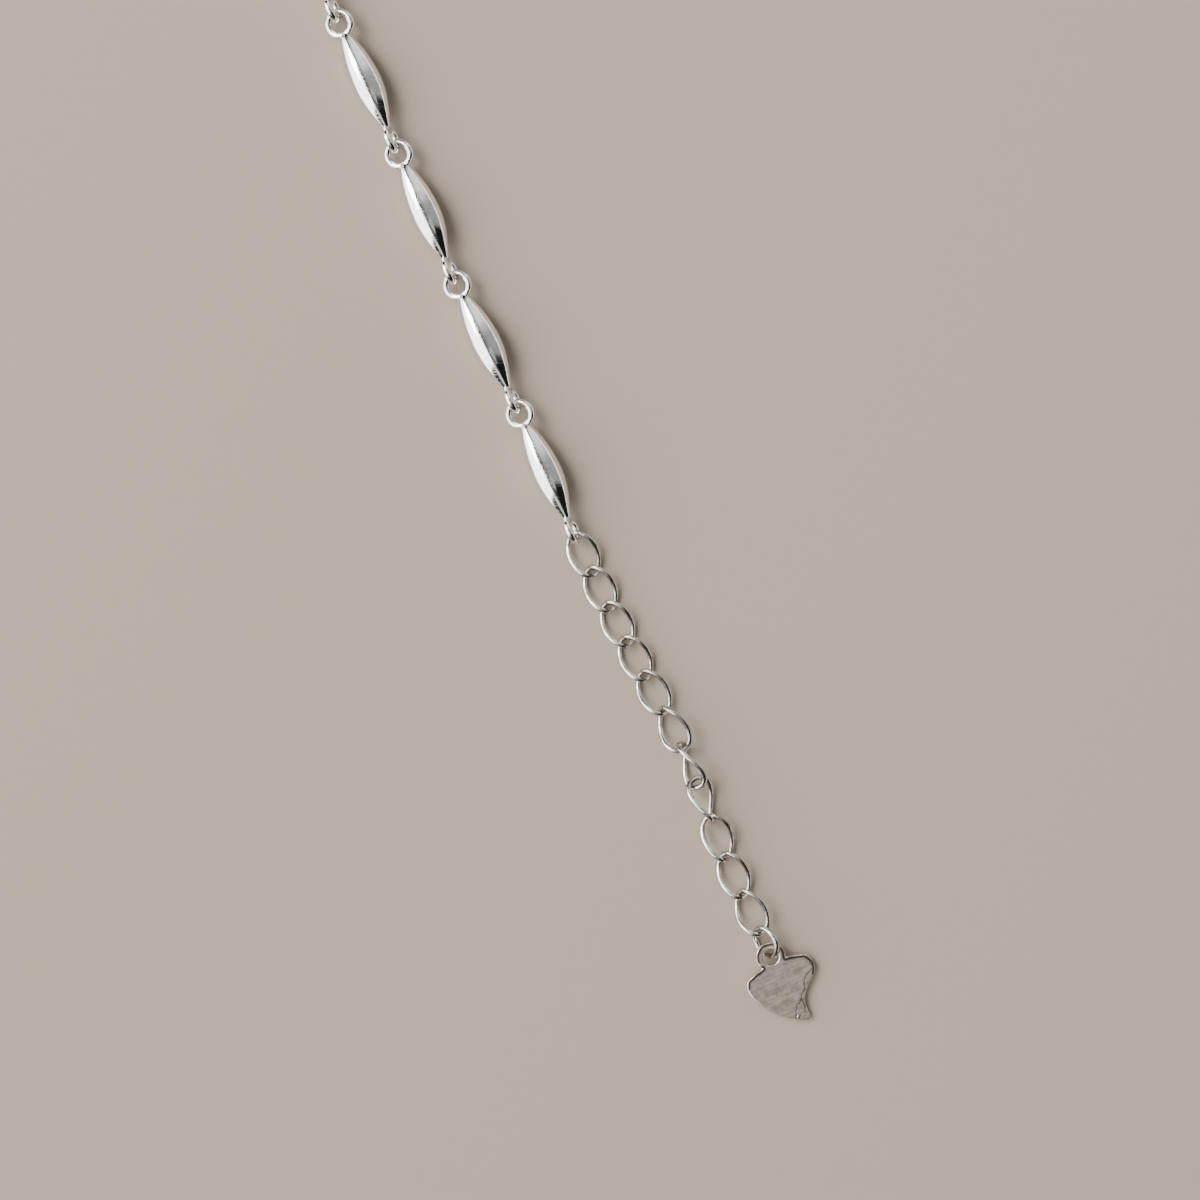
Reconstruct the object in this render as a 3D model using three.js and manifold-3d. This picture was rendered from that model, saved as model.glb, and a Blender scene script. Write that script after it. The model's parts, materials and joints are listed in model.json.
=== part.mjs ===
// A silver bracelet: eleven turned spindle links, a plain clasp, an extender chain of twisted links and
// a small heart tag. It lies open on a flat surface, as it is put down after wear.
// Millimetres and degrees. Z is up, and the bracelet rests on Z = 0, centred on the origin.
// Each piece is drawn with its own X axis along the chain, towards the tag, and then laid in place.

import * as THREE from 'three';
import { mergeVertices } from 'three/addons/utils/BufferGeometryUtils.js';
import Module from 'manifold-3d';

// Spindle links: a turned body soldered between a lying eye and a standing eye
const SPINDLE_COUNT = 11;
const EYE_RADIUS = 1.2;          // to the middle of the wire
const EYE_WIRE = 0.68;
const EYE_SPAN = 12.74;          // from the middle of one eye to the middle of the other
const BELLY_WIDTH = 3.2;
const BELLY_SHARE = 0.54;        // where the body is widest, as a share of its length
const FINE_TIP_WIDTH = 0.3;      // at the lying eye
const BLUNT_TIP_WIDTH = 0.66;    // at the standing eye
const FINE_FULLNESS = 0.65;       // below 1 the profile swells sooner from its tip
const BLUNT_FULLNESS = 1;
const TIP_SETBACK = 0.05;        // from the lying eye's opening to the fine tip
const SPINDLE_LEAN = 18;         // how far a spindle has rolled over on the surface
const EYE_SAG = 0.22;            // how far a lying eye hangs below the middle of the eye that holds it

// Extender: twisted oval links, and the round jump ring that carries the tag
const LINK_LENGTH = 5.26;
const LINK_WIDTH = 3.36;
const LINK_WIRE = 0.54;
const LINK_FULLNESS = 2.3;       // 2 is an ellipse, and more is fuller towards the ends
const LINK_TWIST = 46;           // each end is turned this far from the middle of the link
const JUMP_RING_WIDTH = 3.64;
const JUMP_RING_ROLL = 55;

// Heart tag: a flat stamped plate with its eye in the cleft
const TAG_WIDTH = 6.9;
const TAG_HEIGHT = 6.6;
const TAG_THICKNESS = 0.6;
const TAG_EDGE = 0.18;           // how far its edges are rounded
const TAG_EYE_RADIUS = 1.5;
const TAG_HOLE_RADIUS = 0.8;
const TAG_EYE_LIFT = 1.1;        // the middle of the eye's plate above the surface
const TAG_TURN = 62.5;           // its upright direction, measured from the run of the chain
const TAG_ROLL = -6;             // the ring passes under its left side and lifts it

// Clasp: one plain piece, a closed hook with a standing eye
const CLASP_LENGTH = 9.6;
const CLASP_WIDTH = 6.2;
const CLASP_NECK_WIDTH = 2.6;
const CLASP_NECK_LENGTH = 2.6;
const CLASP_WALL = 1.3;
const CLASP_THICKNESS = 1.8;
const CLASP_EDGE = 0.35;

// How the chain lies
const JOINT_GAP = 0.1;           // left between the wires of two pieces that hang together
const LOOP_RADIUS = 28.8;        // of the round stretch that goes back to the clasp
const ROUND_SPINDLES = 6;        // how many spindles lie on that stretch
const FIRST_LINK_SAG = 0.42;     // how far the first extender link hangs in the last spindle's eye

// Facets
const BODY_SIDES = 14;
const BODY_STEPS = 5;            // on each side of the belly
const WIRE_SIDES = 6;
const LOOP_STEPS = 16;
const OUTLINE_STEPS = 6;

// How closely the joints are measured
const WIRE_SAMPLES = 72;
const SEARCH_STEP = 0.01;

// The route of the chain where it was chosen by eye: each piece's heading, in degrees below the X axis,
// for a twisted link also its roll about its own length, with its right side going up, and where a joint
// lies loose, how far it is from being drawn tight.
const SPINDLE_ROUTE = [
  { heading: 66 },
  { heading: 65.6 },
  { heading: 66 },
  { heading: 64 },
  { heading: 65.7 },
];
const LINK_ROUTE = [
  { heading: 64.5, roll: 0 },
  { heading: 64.5, roll: 0, slack: 0.2 },
  { heading: 63, roll: 0, slack: 0.2 },
  { heading: 62, roll: 0, slack: 0.2 },
  { heading: 61.5, roll: 0, slack: 0.2 },
  { heading: 63, roll: 25 },
  { heading: 67, roll: 68 },
  { heading: 69.5, roll: 126 },
  { heading: 68.5, roll: 168 },
  { heading: 66, roll: 180 },
  { heading: 64, roll: 190 },
];
const JUMP_RING_HEADING = 62.5;

const SILVER = { color: 0xdcdbd8, metalness: 1, roughness: 0.12 };
const SATIN_SILVER = { color: 0xb4ada5, metalness: 1, roughness: 0.42 };

const solids = await Module();
solids.setup();

const rad = THREE.MathUtils.degToRad;
const deg = THREE.MathUtils.radToDeg;

// Joining closed meshes

function toManifold(geometry) {
  const bare = geometry.clone();
  bare.deleteAttribute('normal');
  bare.deleteAttribute('uv');
  const merged = mergeVertices(bare, 1e-5);
  return new solids.Manifold(new solids.Mesh({
    numProp: 3,
    vertProperties: new Float32Array(merged.attributes.position.array),
    triVerts: new Uint32Array(merged.index.array),
  }));
}

function toGeometry(manifold) {
  const mesh = manifold.getMesh();
  const geometry = new THREE.BufferGeometry();
  geometry.setAttribute('position', new THREE.BufferAttribute(new Float32Array(mesh.vertProperties), 3));
  geometry.setIndex(new THREE.BufferAttribute(new Uint32Array(mesh.triVerts), 1));
  geometry.computeVertexNormals();
  return geometry;
}

function solder(...geometries) {
  return toGeometry(geometries.map(toManifold).reduce((whole, next) => whole.add(next)));
}

// Wire loops: a round eye, an oval link or a twisted link is a closed run of wire

function softPower(value, power) {
  return Math.sign(value) * Math.abs(value) ** power;
}

function makeLoop({ centre = 0, reach, halfWidth, fullness = 2, twist = 0, roll = 0, wire }) {
  return { centre, reach, halfWidth, fullness, twist, roll, wire };
}

function loopPoint(loop, turn) {
  const along = softPower(Math.cos(turn), 2 / loop.fullness);
  const across = softPower(Math.sin(turn), 2 / loop.fullness) * loop.halfWidth;
  const tilt = rad(loop.roll - loop.twist * along);
  return {
    place: new THREE.Vector3(
      loop.centre + along * loop.reach,
      across * Math.cos(tilt),
      across * Math.sin(tilt),
    ),
    normal: new THREE.Vector3(0, -Math.sin(tilt), Math.cos(tilt)),
  };
}

function wireGeometry(loop) {
  const nudge = 0.01;
  const positions = [];
  const index = [];
  for (let i = 0; i < LOOP_STEPS; i += 1) {
    const turn = (i / LOOP_STEPS) * Math.PI * 2;
    const { place, normal } = loopPoint(loop, turn);
    const tangent = loopPoint(loop, turn + nudge).place.sub(loopPoint(loop, turn - nudge).place).normalize();
    const up = normal.addScaledVector(tangent, -normal.dot(tangent)).normalize();
    const side = new THREE.Vector3().crossVectors(tangent, up);
    for (let j = 0; j < WIRE_SIDES; j += 1) {
      const angle = (j / WIRE_SIDES) * Math.PI * 2;
      const vertex = place.clone();
      vertex.addScaledVector(up, Math.cos(angle) * loop.wire / 2);
      vertex.addScaledVector(side, Math.sin(angle) * loop.wire / 2);
      positions.push(vertex.x, vertex.y, vertex.z);
      const a = i * WIRE_SIDES + j;
      const b = i * WIRE_SIDES + ((j + 1) % WIRE_SIDES);
      const c = ((i + 1) % LOOP_STEPS) * WIRE_SIDES + j;
      const d = ((i + 1) % LOOP_STEPS) * WIRE_SIDES + ((j + 1) % WIRE_SIDES);
      index.push(a, b, c, b, d, c);
    }
  }
  const geometry = new THREE.BufferGeometry();
  geometry.setAttribute('position', new THREE.Float32BufferAttribute(positions, 3));
  geometry.setIndex(index);
  geometry.computeVertexNormals();
  return geometry;
}

function samplePoints(loop, matrix = new THREE.Matrix4()) {
  const points = [];
  for (let i = 0; i < WIRE_SAMPLES; i += 1) {
    points.push(loopPoint(loop, (i / WIRE_SAMPLES) * Math.PI * 2).place.applyMatrix4(matrix));
  }
  return points;
}

// How high a loop's own X axis lies when the loop, rolled over, rests on the surface
function restHeight(loop, roll) {
  const turned = new THREE.Matrix4().makeRotationX(rad(roll));
  return loop.wire / 2 - Math.min(...samplePoints(loop, turned).map((point) => point.z));
}

// Pieces

const bodyStart = EYE_RADIUS - EYE_WIRE / 2 + TIP_SETBACK;
const bodyEnd = EYE_SPAN - EYE_RADIUS;
const bellyAt = bodyStart + (bodyEnd - bodyStart) * BELLY_SHARE;

function spindleBody() {
  const swell = (tip, share, fullness) => (
    (tip + (BELLY_WIDTH - tip) * Math.sin(share * Math.PI / 2) ** fullness) / 2
  );
  const profile = [new THREE.Vector2(0, bodyStart)];
  for (let i = 0; i <= BODY_STEPS; i += 1) {
    const share = i / BODY_STEPS;
    profile.push(new THREE.Vector2(
      swell(FINE_TIP_WIDTH, share, FINE_FULLNESS),
      THREE.MathUtils.lerp(bodyStart, bellyAt, share),
    ));
  }
  for (let i = BODY_STEPS - 1; i >= 0; i -= 1) {
    const share = i / BODY_STEPS;
    profile.push(new THREE.Vector2(
      swell(BLUNT_TIP_WIDTH, share, BLUNT_FULLNESS),
      THREE.MathUtils.lerp(bodyEnd, bellyAt, share),
    ));
  }
  profile.push(new THREE.Vector2(0, bodyEnd));
  return new THREE.LatheGeometry(profile, BODY_SIDES).rotateZ(-Math.PI / 2);
}

const eyeSize = { reach: EYE_RADIUS, halfWidth: EYE_RADIUS, wire: EYE_WIRE };
const lyingEye = makeLoop({ ...eyeSize });
const standingEye = makeLoop({ ...eyeSize, centre: EYE_SPAN, roll: 90 });
const spindleGeometry = solder(spindleBody(), wireGeometry(lyingEye), wireGeometry(standingEye));

// A spindle lies on its standing eye or on its belly, whichever lifts that eye more
const spindleSlope = Math.asin(EYE_SAG / EYE_SPAN);
const bellyRest = BELLY_WIDTH / 2 + (EYE_SPAN - bellyAt) * Math.sin(spindleSlope);
const standingEyeHeight = Math.max(restHeight(standingEye, SPINDLE_LEAN), bellyRest);

function spindle(name, heading) {
  return {
    name,
    geometry: spindleGeometry,
    finish: SILVER,
    near: lyingEye,
    far: standingEye,
    heading,
    roll: SPINDLE_LEAN,
    slope: spindleSlope,
    height: standingEyeHeight - EYE_SAG,
    slack: 0,
  };
}

const twistedLoop = makeLoop({
  reach: (LINK_LENGTH - LINK_WIRE) / 2,
  halfWidth: (LINK_WIDTH - LINK_WIRE) / 2,
  fullness: LINK_FULLNESS,
  twist: LINK_TWIST,
  wire: LINK_WIRE,
});
const twistedGeometry = wireGeometry(twistedLoop);

const jumpLoop = makeLoop({
  reach: (JUMP_RING_WIDTH - LINK_WIRE) / 2,
  halfWidth: (JUMP_RING_WIDTH - LINK_WIRE) / 2,
  wire: LINK_WIRE,
});

// A link between two heights: its near end is as high as the last joint, its far end as the next one
function wireLink(name, loop, geometry, { heading, roll, slack = 0 }, nearHeight, farHeight) {
  return {
    name,
    geometry,
    finish: SILVER,
    near: loop,
    far: loop,
    heading,
    roll,
    slope: Math.asin((farHeight - nearHeight) / (2 * loop.reach)),
    height: (nearHeight + farHeight) / 2,
    slack,
  };
}

// An egg-shaped outline along X, from a small round end at smallX to a large one at bigX
function eggOutline(path, bigX, bigRadius, smallX, smallRadius) {
  const lean = Math.asin((bigRadius - smallRadius) / (smallX - bigX));
  path.absarc(smallX, 0, smallRadius, lean - Math.PI / 2, Math.PI / 2 - lean, false);
  path.absarc(bigX, 0, bigRadius, Math.PI / 2 - lean, Math.PI * 1.5 + lean, false);
  path.closePath();
  return path;
}

function plateGeometry(shape, thickness, edge, curveSegments) {
  const geometry = new THREE.ExtrudeGeometry(shape, {
    depth: thickness - 2 * edge,
    curveSegments,
    bevelThickness: edge,
    bevelSize: edge,
    bevelOffset: -edge,
    bevelSegments: 2,
  });
  return geometry.translate(0, 0, edge - thickness / 2);
}

const claspEye = makeLoop({ ...eyeSize, roll: 90 });

function clasp(heading) {
  const neckRadius = CLASP_NECK_WIDTH / 2;
  const hookRadius = CLASP_WIDTH / 2;
  const hookX = hookRadius - CLASP_LENGTH - EYE_RADIUS;
  const holeRadius = hookRadius - CLASP_WALL;
  const holeSmallRadius = neckRadius / 2;
  const outline = eggOutline(new THREE.Shape(), hookX, hookRadius, -EYE_RADIUS - neckRadius, neckRadius);
  const holeSmallX = -EYE_RADIUS - CLASP_NECK_LENGTH - holeSmallRadius;
  outline.holes.push(eggOutline(new THREE.Path(), hookX, holeRadius, holeSmallX, holeSmallRadius));
  const hook = plateGeometry(outline, CLASP_THICKNESS, CLASP_EDGE, OUTLINE_STEPS * 2);
  const eyeHeight = restHeight(claspEye, 0);
  return {
    name: 'clasp',
    geometry: solder(hook, wireGeometry(claspEye)),
    finish: SILVER,
    near: claspEye,
    far: claspEye,
    heading,
    roll: 0,
    slope: Math.asin((eyeHeight - CLASP_THICKNESS / 2) / (CLASP_LENGTH + EYE_RADIUS)),
    height: eyeHeight,
  };
}

// The tag's outline, with its eye at the origin. The numbers are shares of its width and its height.
function tagOutline() {
  const at = (x, y) => [x * TAG_WIDTH, y * TAG_HEIGHT];
  const leftNotch = rad(234);
  const shape = new THREE.Shape();
  shape.moveTo(Math.cos(leftNotch) * TAG_EYE_RADIUS, Math.sin(leftNotch) * TAG_EYE_RADIUS);
  shape.bezierCurveTo(...at(-0.243, -0.271), ...at(-0.348, -0.333), ...at(-0.348, -0.424));
  shape.bezierCurveTo(...at(-0.348, -0.682), ...at(0.087, -0.947), ...at(0.5, -0.962));
  shape.quadraticCurveTo(...at(0.616, -0.962), ...at(0.584, -0.876));
  shape.bezierCurveTo(...at(0.551, -0.803), ...at(0.507, -0.72), ...at(0.507, -0.636));
  shape.bezierCurveTo(...at(0.507, -0.462), ...at(0.652, -0.303), ...at(0.652, -0.174));
  shape.bezierCurveTo(...at(0.652, -0.083), ...at(0.565, 0.039), ...at(0.471, 0.039));
  shape.bezierCurveTo(...at(0.391, 0.039), ...at(0.304, 0.015), TAG_EYE_RADIUS, 0);
  shape.absarc(0, 0, TAG_EYE_RADIUS, 0, leftNotch, false);
  const hole = new THREE.Path();
  hole.absarc(0, 0, TAG_HOLE_RADIUS, 0, Math.PI * 2, true);
  shape.holes.push(hole);
  return shape;
}

// Laying the pieces in place

function direction(heading) {
  return new THREE.Vector3(Math.cos(rad(heading)), -Math.sin(rad(heading)), 0);
}

function poseMatrix(piece, origin) {
  const pose = new THREE.Object3D();
  pose.rotation.set(rad(piece.roll), -piece.slope, -rad(piece.heading), 'ZYX');
  pose.position.copy(origin);
  pose.updateMatrix();
  return pose.matrix;
}

function closest(first, second) {
  let best = Infinity;
  for (const a of first) {
    for (const b of second) {
      best = Math.min(best, a.distanceToSquared(b));
    }
  }
  return Math.sqrt(best);
}

// Draws a joint out from its roomiest trial for as long as the wires keep the room they need
function drawOut(trials, roomAt, needed) {
  const rooms = trials.map(roomAt);
  let kept = rooms.indexOf(Math.max(...rooms));
  while (rooms[kept + 1] >= needed) {
    kept += 1;
  }
  return trials[kept];
}

function steps(from, to, step) {
  return Array.from({ length: Math.round(Math.abs(to - from) / step) + 1 }, (_, i) => (
    from + Math.sign(to - from) * step * i
  ));
}

// Hangs the next piece in the last one's far loop, pulled out until the wires are JOINT_GAP apart
function hang(last, next) {
  const held = samplePoints(last.far, last.matrix);
  const farTip = new THREE.Vector3(last.far.centre + last.far.reach, 0, 0).applyMatrix4(last.matrix);
  const nearTip = (next.near.reach - next.near.centre) * Math.cos(next.slope);
  const placeFor = (overlap) => {
    const origin = farTip.clone();
    origin.addScaledVector(direction(last.heading), -overlap / 2);
    origin.addScaledVector(direction(next.heading), nearTip - overlap / 2);
    return origin.setZ(next.height);
  };
  const needed = (last.far.wire + next.near.wire) / 2 + JOINT_GAP;
  const deepest = last.far.wire + next.near.wire + next.near.reach / 3;
  const tight = drawOut(steps(deepest, 0, SEARCH_STEP), (overlap) => (
    closest(held, samplePoints(next.near, poseMatrix(next, placeFor(overlap))))
  ), needed);
  next.matrix = poseMatrix(next, placeFor(tight + next.slack));
}

// How far a point lies from the tag's plate round its hole, in the tag's own axes
function toTagEye(point) {
  const out = Math.hypot(point.x, point.y);
  const aside = Math.max(TAG_HOLE_RADIUS - out, out - TAG_EYE_RADIUS, 0);
  const above = Math.max(Math.abs(point.z) - TAG_THICKNESS / 2, 0);
  return Math.hypot(aside, above);
}

// Hangs the tag on the jump ring, whose lower side passes under the tag's eye
function hangTag(tag, ring) {
  const wire = samplePoints(ring.far, ring.matrix);
  const middle = new THREE.Vector3().setFromMatrixPosition(ring.matrix);
  const aside = new THREE.Vector3(0, 0, 1).cross(direction(ring.heading));
  const sideways = (tag.height - middle.z) / Math.tan(rad(ring.roll));
  const placeFor = (ahead) => {
    const origin = middle.clone();
    origin.addScaledVector(direction(ring.heading), ahead);
    origin.addScaledVector(aside, sideways);
    return origin.setZ(tag.height);
  };
  const { reach } = ring.far;
  const tight = drawOut(steps(reach / 2, reach + TAG_EYE_RADIUS, SEARCH_STEP), (ahead) => {
    const inverse = poseMatrix(tag, placeFor(ahead)).invert();
    return Math.min(...wire.map((point) => toTagEye(point.clone().applyMatrix4(inverse))));
  }, ring.far.wire / 2 + JOINT_GAP);
  tag.matrix = poseMatrix(tag, placeFor(tight));
}

// The whole chain, from the clasp to the tag

const spindlePitch = EYE_SPAN + 2 * EYE_RADIUS - EYE_WIRE - JOINT_GAP;
const turnPerSpindle = deg(2 * Math.asin(spindlePitch / (2 * LOOP_RADIUS)));
const pieces = [clasp(SPINDLE_ROUTE[0].heading - (ROUND_SPINDLES + 1) * turnPerSpindle)];

for (let i = 0; i < SPINDLE_COUNT; i += 1) {
  const onRoute = Math.max(i - ROUND_SPINDLES, 0);
  const turned = Math.max(ROUND_SPINDLES - i, 0) * turnPerSpindle;
  const { heading } = SPINDLE_ROUTE[Math.min(onRoute, SPINDLE_ROUTE.length - 1)];
  pieces.push(spindle(`spindle_link_${i + 1}`, heading - turned));
}

const linkRests = LINK_ROUTE.map(({ roll }) => restHeight(twistedLoop, roll));
linkRests.push(restHeight(jumpLoop, JUMP_RING_ROLL));
LINK_ROUTE.forEach((lie, i) => {
  const hung = standingEyeHeight - FIRST_LINK_SAG;
  const nearHeight = i === 0 ? hung : Math.max(linkRests[i - 1], linkRests[i]);
  const farHeight = Math.max(linkRests[i], linkRests[i + 1]);
  const name = `extender_link_${i + 1}`;
  pieces.push(wireLink(name, twistedLoop, twistedGeometry, lie, nearHeight, farHeight));
});

const ringRest = linkRests[linkRests.length - 1];
const ringLie = { heading: JUMP_RING_HEADING, roll: JUMP_RING_ROLL };
const jumpRing = wireLink('jump_ring', jumpLoop, wireGeometry(jumpLoop), ringLie, ringRest, ringRest);
pieces.push(jumpRing);

pieces[0].matrix = poseMatrix(pieces[0], new THREE.Vector3(0, 0, pieces[0].height));
for (let i = 1; i < pieces.length; i += 1) {
  hang(pieces[i - 1], pieces[i]);
}

const outline = tagOutline();
const fall = direction(TAG_TURN);
const across = new THREE.Vector3(0, 0, 1).cross(fall);
const tagDrops = outline.getPoints(OUTLINE_STEPS).map((point) => {
  const ahead = point.x * fall.x + point.y * fall.y;
  const aside = point.x * across.x + point.y * across.y;
  const room = TAG_EYE_LIFT - TAG_THICKNESS / 2 + aside * Math.sin(rad(TAG_ROLL));
  return ahead > TAG_EYE_RADIUS ? room / ahead : Infinity;
});
const tag = {
  name: 'heart_tag',
  geometry: plateGeometry(outline, TAG_THICKNESS, TAG_EDGE, OUTLINE_STEPS).rotateZ(rad(TAG_TURN)),
  finish: SATIN_SILVER,
  heading: JUMP_RING_HEADING,
  roll: TAG_ROLL,
  slope: -Math.asin(Math.min(...tagDrops)),
  height: TAG_EYE_LIFT,
};
hangTag(tag, jumpRing);
pieces.push(tag);

const bracelet = new THREE.Group();
for (const piece of pieces) {
  const mesh = new THREE.Mesh(piece.geometry, new THREE.MeshStandardMaterial(piece.finish));
  mesh.name = piece.name;
  mesh.applyMatrix4(piece.matrix);
  bracelet.add(mesh);
}

bracelet.updateMatrixWorld(true);
const extent = new THREE.Box3().setFromObject(bracelet, true);
const middle = extent.getCenter(new THREE.Vector3());
bracelet.position.set(-middle.x, -middle.y, -extent.min.z);
bracelet.updateMatrixWorld(true);

export default bracelet;
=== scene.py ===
# %% [markdown]
# # A silver bracelet with a heart tag
# The bracelet lies open on a pale sheet. Polished spindle links make its strand, and a chain of small
# twisted links makes its extender, which ends in a stamped heart. The solid model already fixes each
# piece's place and size, so this lesson models the same pieces with the smooth, fine surface that
# polished silver needs, and lays each one exactly where its solid lies.

# %% Load the solid model
import json
import math

import bpy
import numpy as np
from mathutils import Matrix, Vector
from mathutils.geometry import interpolate_bezier
from mathutils.noise import noise_vector

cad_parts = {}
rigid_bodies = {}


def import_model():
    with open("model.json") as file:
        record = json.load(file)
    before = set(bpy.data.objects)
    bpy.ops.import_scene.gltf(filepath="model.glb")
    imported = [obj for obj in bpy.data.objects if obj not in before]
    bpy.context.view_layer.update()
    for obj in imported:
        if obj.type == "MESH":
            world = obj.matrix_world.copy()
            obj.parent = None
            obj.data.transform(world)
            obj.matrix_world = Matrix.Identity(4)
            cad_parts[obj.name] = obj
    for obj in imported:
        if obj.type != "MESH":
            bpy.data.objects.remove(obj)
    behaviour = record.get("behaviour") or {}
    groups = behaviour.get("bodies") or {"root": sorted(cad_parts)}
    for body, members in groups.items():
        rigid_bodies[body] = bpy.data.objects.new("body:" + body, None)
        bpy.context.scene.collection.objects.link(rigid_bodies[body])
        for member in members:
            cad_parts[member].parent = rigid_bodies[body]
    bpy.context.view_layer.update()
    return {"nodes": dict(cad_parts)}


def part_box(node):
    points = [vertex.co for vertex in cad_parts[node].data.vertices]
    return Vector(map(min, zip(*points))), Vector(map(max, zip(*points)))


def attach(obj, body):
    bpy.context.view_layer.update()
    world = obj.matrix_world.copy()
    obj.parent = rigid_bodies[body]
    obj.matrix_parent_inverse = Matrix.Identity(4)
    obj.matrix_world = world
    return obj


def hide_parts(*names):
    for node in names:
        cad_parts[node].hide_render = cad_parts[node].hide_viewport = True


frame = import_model()
nodes = frame["nodes"]

# %% [markdown]
# The pieces hang in each other in one run from the clasp to the tag, so a plain list of their names
# is also the order of the chain. Each name is a solid of the model.

# %% The chain from end to end
SPINDLES = [f"spindle_link_{number}" for number in range(1, 12)]
LINKS = [f"extender_link_{number}" for number in range(1, 12)]
CHAIN = ["clasp", *SPINDLES, *LINKS, "jump_ring", "heart_tag"]
print("the chain has every solid once:", sorted(CHAIN) == sorted(nodes))

# %% [markdown]
# Silver wire half a millimetre thick is awkward to model at its size in metres, because merging,
# cutting and remeshing all work to small fixed tolerances. So each piece is modelled a thousand times
# larger, with one Blender unit for each millimetre, and is made small when it is laid in place.
# All the sizes below are therefore in millimetres. The next cell holds the small steps that every
# piece needs: clearing the selection, keeping the newest object, and applying a modifier.

# %% Small steps that every piece needs
MM = 0.001


def select_only(*objects):
    bpy.ops.object.select_all(action="DESELECT")
    for obj in objects:
        obj.select_set(True)
    bpy.context.view_layer.objects.active = objects[-1]


def newest(name):
    obj = bpy.context.object
    obj.name = name
    obj.data.name = name
    return obj


def apply_modifier(obj, kind, **settings):
    select_only(obj)
    bpy.ops.object.modifier_add(type=kind)
    modifier = obj.modifiers[-1]
    for setting, value in settings.items():
        setattr(modifier, setting, value)
    bpy.ops.object.modifier_apply(modifier=modifier.name)


def join(name, *objects):
    select_only(*objects)
    bpy.ops.object.join()
    return newest(name)


def count_triangles(obj):
    obj.data.calc_loop_triangles()
    return len(obj.data.loop_triangles)


bpy.ops.object.select_all(action="DESELECT")
print("one unit stands for", MM, "m")

# %% [markdown]
# How does a solid lie? Its faces tell. Their spread is widest along the piece and narrowest across
# its flat side, and those two directions are the first and last axes of the spread. A spindle is as
# wide as it is high, so there only the faces of its first eye are asked for the flat direction. The
# middle is half way along the piece, and on its centre line. The same measure is taken of the new
# piece, and the one is then laid on the other.

# %% Find how a solid lies
def faces_of(mesh):
    centres = np.empty(len(mesh.polygons) * 3)
    areas = np.empty(len(mesh.polygons))
    mesh.polygons.foreach_get("center", centres)
    mesh.polygons.foreach_get("area", areas)
    return centres.reshape(-1, 3), areas


def spread_axes(centres, areas):
    middle = np.average(centres, axis=0, weights=areas)
    offsets = centres - middle
    values, axes = np.linalg.eigh((offsets * areas[:, None]).T @ offsets)
    return middle, Vector(axes[:, 0]), Vector(axes[:, 2])


def middle_of(mesh, along):
    centres, areas = faces_of(mesh)
    middle = Vector(np.average(centres, axis=0, weights=areas))
    reach = [(vertex.co - middle).dot(along) for vertex in mesh.vertices]
    return middle + along * (min(reach) + max(reach)) / 2


def turn_from_axes(along, up):
    along = (along - up * along.dot(up)).normalized()
    return Matrix((along, up.cross(along), up)).transposed()


def lie_of(name, ahead, flat_share=1.0):
    mesh = nodes[name].data
    centres, areas = faces_of(mesh)
    middle, up, along = spread_axes(centres, areas)
    if along.dot(ahead - Vector(middle)) < 0:
        along = -along
    distance = (centres - middle) @ np.array(along)
    near = distance <= distance.min() + flat_share * np.ptp(distance)
    up = spread_axes(centres[near], areas[near])[1]
    up = (up - along * up.dot(along)).normalized()
    if up.z < 0:
        up = -up
    return middle_of(mesh, along), turn_from_axes(along, up)


def box_middle(name):
    low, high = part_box(name)
    return (low + high) / 2


print("the tag lies about", [round(side / MM, 1) for side in box_middle("heart_tag")])

# %% [markdown]
# Laying a piece in place is one matrix: take the piece to its own middle, make it small, turn it and
# carry it to the middle of the solid. The matrix goes into the mesh, so that the object itself stays
# at the origin, unturned and unscaled. Then the piece takes the solid's place and rides on the body.

# %% Lay a finished piece where its solid lies
pieces = {}


def lay(pattern, name, middle, turn):
    piece = pattern.copy()
    piece.data = pattern.data.copy()
    piece.name = f"silver_{name}"
    piece.data.name = piece.name
    bpy.context.scene.collection.objects.link(piece)
    own_middle = middle_of(pattern.data, Vector((1, 0, 0)))
    piece.data.transform(
        Matrix.Translation(middle) @ turn.to_4x4() @ Matrix.Scale(MM, 4) @ Matrix.Translation(-own_middle)
    )
    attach(piece, "root")
    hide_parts(name)
    pieces[name] = piece
    return piece


# %% [markdown]
# Metal keeps marks of how it was worked, and they follow the piece: a turned body is polished along its
# length, and drawn wire has fine lines along it. Where links hang in each other, the inner side of each bow
# is darkened in its colour: painted shade where the links cover each other, with some tarnish in it. So
# each pattern keeps two things at its points: its own place on the piece, and how deep it lies inside a
# bow, which sets that painted shade. The finishes below read both.

# %% Keep each point's own place
def keep_places(pattern, joint_shade):
    vertices = pattern.data.vertices
    places = pattern.data.attributes.new("own place", "FLOAT_VECTOR", "POINT")
    places.data.foreach_set("vector", [side * MM for vertex in vertices for side in vertex.co])
    # The second attribute is a share of painted shade, with some tarnish, on the inner side of each bow.
    shares = pattern.data.attributes.new("joint_shade", "FLOAT", "POINT")
    shares.data.foreach_set("value", [min(1.0, max(0.0, joint_shade(vertex.co))) for vertex in vertices])


def inside_bow(place, reach, wire):
    from_end = reach - place
    return min(from_end / (wire / 2), 1 - from_end / (wire * BOW_WIRES))


BOW_WIRES = 1.5
print("own places are kept in metres, and hidden is a share from 0 to 1")

# %% [markdown]
# ## The spindle links
# A spindle is turned on a lathe from silver rod: it swells from a fine tip to its belly and narrows
# again to a blunter tip with a tiny collar. A lathe body could be spun from a drawn profile, or grown
# ring by ring from a disc. Growing it is simpler to read: a formula gives the radius at each station,
# and each step extrudes the end face and resizes it. The stations crowd towards the tips, where the
# curve is tightest.

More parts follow.
